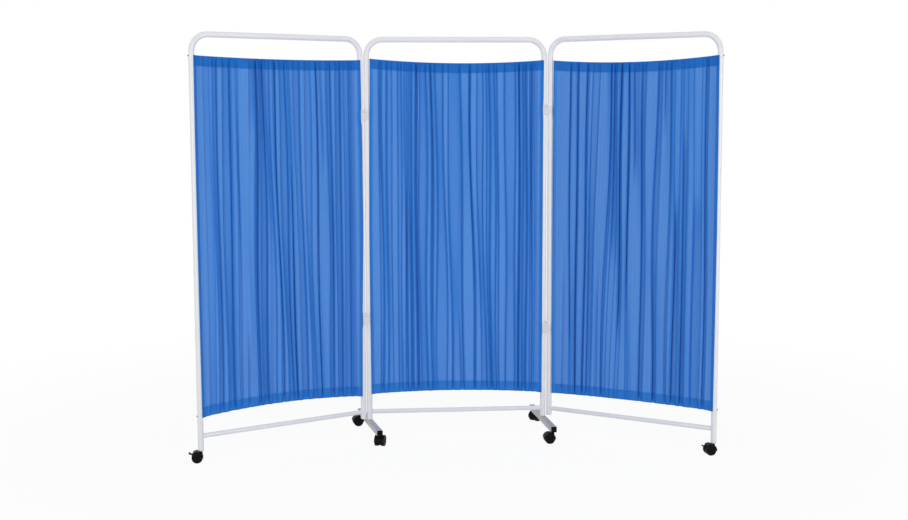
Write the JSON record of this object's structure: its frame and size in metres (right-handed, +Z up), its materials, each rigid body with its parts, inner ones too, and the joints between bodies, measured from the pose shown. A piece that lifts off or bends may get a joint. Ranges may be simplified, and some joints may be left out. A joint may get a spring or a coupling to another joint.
{
  "type": "folding privacy screen",
  "caption": "Folding ward privacy screen: tube frames hung with gathered curtains, joined by swivelling clamps, on twin-wheel casters, with cross feet under the middle frame.",
  "frame": {"origin": "on the floor under the middle of the whole screen as it stands part folded", "axes": "+X along the middle frame towards the right wing, +Y towards the rear, away from the side that the wings fold to, +Z up"},
  "size_m": [2.2523, 0.7602, 1.8],
  "materials": {
    "white_paint": "smooth satin white powder coat",
    "silver_paint": "satin silver-grey paint",
    "black_plastic": "moulded black plastic",
    "wheel_plastic": "hard black plastic wheel with a smooth tread",
    "steel": "zinc-plated steel",
    "grey_plastic": "light grey moulded plastic",
    "blue_cloth": "plain-woven blue polyester curtain cloth",
    "white_cord": "white sleeved elastic cord"
  },
  "bodies": {
    "centre": {"centre_frame": "white_paint", "centre_rail": "white_paint", "centre_lower_cord": "white_cord", "centre_upper_cord": "white_cord", "centre_curtain": "blue_cloth", "left_foot": "silver_paint", "left_foot_front_plug": "black_plastic", "left_foot_rear_plug": "black_plastic", "left_front_caster_stem": "steel", "left_rear_caster_stem": "steel", "right_foot": "silver_paint", "right_foot_front_plug": "black_plastic", "right_foot_rear_plug": "black_plastic", "right_front_caster_stem": "steel", "right_rear_caster_stem": "steel"},
    "left_clamps": {"left_upper_clamp_front": "grey_plastic", "left_upper_clamp_back": "grey_plastic", "left_upper_clamp_screw": "steel", "left_lower_clamp_front": "grey_plastic", "left_lower_clamp_back": "grey_plastic", "left_lower_clamp_screw": "steel"},
    "left_wing": {"left_frame": "white_paint", "left_rail": "white_paint", "left_lower_cord": "white_cord", "left_upper_cord": "white_cord", "left_curtain": "blue_cloth", "left_outer_caster_stem": "steel"},
    "right_clamps": {"right_upper_clamp_front": "grey_plastic", "right_upper_clamp_back": "grey_plastic", "right_upper_clamp_screw": "steel", "right_lower_clamp_front": "grey_plastic", "right_lower_clamp_back": "grey_plastic", "right_lower_clamp_screw": "steel"},
    "right_wing": {"right_frame": "white_paint", "right_rail": "white_paint", "right_lower_cord": "white_cord", "right_upper_cord": "white_cord", "right_curtain": "blue_cloth", "right_outer_caster_stem": "steel"},
    "left_outer_swivel": {"left_outer_caster_hood": "black_plastic"},
    "left_outer_wheel_1": {"left_outer_caster_wheel_1": "wheel_plastic"},
    "left_outer_wheel_2": {"left_outer_caster_wheel_2": "wheel_plastic"},
    "left_front_swivel": {"left_front_caster_hood": "black_plastic"},
    "left_front_wheel_1": {"left_front_caster_wheel_1": "wheel_plastic"},
    "left_front_wheel_2": {"left_front_caster_wheel_2": "wheel_plastic"},
    "left_rear_swivel": {"left_rear_caster_hood": "black_plastic"},
    "left_rear_wheel_1": {"left_rear_caster_wheel_1": "wheel_plastic"},
    "left_rear_wheel_2": {"left_rear_caster_wheel_2": "wheel_plastic"},
    "left_brake": {"left_outer_brake_lever": "black_plastic"},
    "right_outer_swivel": {"right_outer_caster_hood": "black_plastic"},
    "right_outer_wheel_1": {"right_outer_caster_wheel_1": "wheel_plastic"},
    "right_outer_wheel_2": {"right_outer_caster_wheel_2": "wheel_plastic"},
    "right_front_swivel": {"right_front_caster_hood": "black_plastic"},
    "right_front_wheel_1": {"right_front_caster_wheel_1": "wheel_plastic"},
    "right_front_wheel_2": {"right_front_caster_wheel_2": "wheel_plastic"},
    "right_rear_swivel": {"right_rear_caster_hood": "black_plastic"},
    "right_rear_wheel_1": {"right_rear_caster_wheel_1": "wheel_plastic"},
    "right_rear_wheel_2": {"right_rear_caster_wheel_2": "wheel_plastic"},
    "right_brake": {"right_outer_brake_lever": "black_plastic"}
  },
  "joints": [
    {"name": "left_clamps_swing", "type": "hinge", "parent": "centre", "child": "left_clamps", "pos_m": [-0.35447, 0.12421, 0], "axis": [0, 0, 1], "range_deg": [-86.75, 57.25]},
    {"name": "left_wing_fold", "type": "hinge", "parent": "left_clamps", "child": "left_wing", "pos_m": [-0.38252, 0.11683, 0], "axis": [0, 0, 1], "range_deg": [-86.75, 57.25]},
    {"name": "right_clamps_swing", "type": "hinge", "parent": "centre", "child": "right_clamps", "pos_m": [0.44053, 0.12421, 0], "axis": [0, 0, 1], "range_deg": [-53.9, 90.1]},
    {"name": "right_wing_fold", "type": "hinge", "parent": "right_clamps", "child": "right_wing", "pos_m": [0.46809, 0.1152, 0], "axis": [0, 0, 1], "range_deg": [-53.9, 90.1]},
    {"name": "left_outer_swivel_turn", "type": "hinge", "parent": "left_wing", "child": "left_outer_swivel", "pos_m": [-1.07445, -0.27465, 0], "axis": [0, 0, 1], "continuous": true},
    {"name": "left_outer_wheel_1_spin", "type": "hinge", "parent": "left_outer_swivel", "child": "left_outer_wheel_1", "pos_m": [-1.09136, -0.27643, 0.023], "axis": [-0.1045, 0.9945, 0], "continuous": true},
    {"name": "left_outer_wheel_2_spin", "type": "hinge", "parent": "left_outer_swivel", "child": "left_outer_wheel_2", "pos_m": [-1.09136, -0.27643, 0.023], "axis": [-0.1045, 0.9945, 0], "continuous": true},
    {"name": "left_front_swivel_turn", "type": "hinge", "parent": "centre", "child": "left_front_swivel", "pos_m": [-0.31839, -0.0847, 0], "axis": [0, 0, 1], "continuous": true},
    {"name": "left_front_wheel_1_spin", "type": "hinge", "parent": "left_front_swivel", "child": "left_front_wheel_1", "pos_m": [-0.31342, -0.06844, 0.023], "axis": [0.9563, -0.2924, 0], "continuous": true},
    {"name": "left_front_wheel_2_spin", "type": "hinge", "parent": "left_front_swivel", "child": "left_front_wheel_2", "pos_m": [-0.31342, -0.06844, 0.023], "axis": [0.9563, -0.2924, 0], "continuous": true},
    {"name": "left_rear_swivel_turn", "type": "hinge", "parent": "centre", "child": "left_rear_swivel", "pos_m": [-0.39056, 0.33312, 0], "axis": [0, 0, 1], "continuous": true},
    {"name": "left_rear_wheel_1_spin", "type": "hinge", "parent": "left_rear_swivel", "child": "left_rear_wheel_1", "pos_m": [-0.4073, 0.33016, 0.023], "axis": [-0.1736, 0.9848, 0], "continuous": true},
    {"name": "left_rear_wheel_2_spin", "type": "hinge", "parent": "left_rear_swivel", "child": "left_rear_wheel_2", "pos_m": [-0.4073, 0.33016, 0.023], "axis": [-0.1736, 0.9848, 0], "continuous": true},
    {"name": "left_brake_press", "type": "hinge", "parent": "left_outer_swivel", "child": "left_brake", "pos_m": [-1.10398, -0.27775, 0.03189], "axis": [0.1045, -0.9945, 0], "range_deg": [0, 12]},
    {"name": "right_outer_swivel_turn", "type": "hinge", "parent": "right_wing", "child": "right_outer_swivel", "pos_m": [1.10963, -0.35433, 0], "axis": [0, 0, 1], "continuous": true},
    {"name": "right_outer_wheel_1_spin", "type": "hinge", "parent": "right_outer_swivel", "child": "right_outer_wheel_1", "pos_m": [1.09272, -0.35611, 0.023], "axis": [-0.1045, 0.9945, 0], "continuous": true},
    {"name": "right_outer_wheel_2_spin", "type": "hinge", "parent": "right_outer_swivel", "child": "right_outer_wheel_2", "pos_m": [1.09272, -0.35611, 0.023], "axis": [-0.1045, 0.9945, 0], "continuous": true},
    {"name": "right_front_swivel_turn", "type": "hinge", "parent": "centre", "child": "right_front_swivel", "pos_m": [0.45532, -0.08727, 0], "axis": [0, 0, 1], "continuous": true},
    {"name": "right_front_wheel_1_spin", "type": "hinge", "parent": "right_front_swivel", "child": "right_front_wheel_1", "pos_m": [0.43836, -0.08846, 0.023], "axis": [-0.0698, 0.9976, 0], "continuous": true},
    {"name": "right_front_wheel_2_spin", "type": "hinge", "parent": "right_front_swivel", "child": "right_front_wheel_2", "pos_m": [0.43836, -0.08846, 0.023], "axis": [-0.0698, 0.9976, 0], "continuous": true},
    {"name": "right_rear_swivel_turn", "type": "hinge", "parent": "centre", "child": "right_rear_swivel", "pos_m": [0.42574, 0.3357, 0], "axis": [0, 0, 1], "continuous": true},
    {"name": "right_rear_wheel_1_spin", "type": "hinge", "parent": "right_rear_swivel", "child": "right_rear_wheel_1", "pos_m": [0.43857, 0.34685, 0.023], "axis": [0.6561, -0.7547, 0], "continuous": true},
    {"name": "right_rear_wheel_2_spin", "type": "hinge", "parent": "right_rear_swivel", "child": "right_rear_wheel_2", "pos_m": [0.43857, 0.34685, 0.023], "axis": [0.6561, -0.7547, 0], "continuous": true},
    {"name": "right_brake_press", "type": "hinge", "parent": "right_outer_swivel", "child": "right_brake", "pos_m": [1.08009, -0.35743, 0.03189], "axis": [0.1045, -0.9945, 0], "range_deg": [0, 12]}
  ]
}
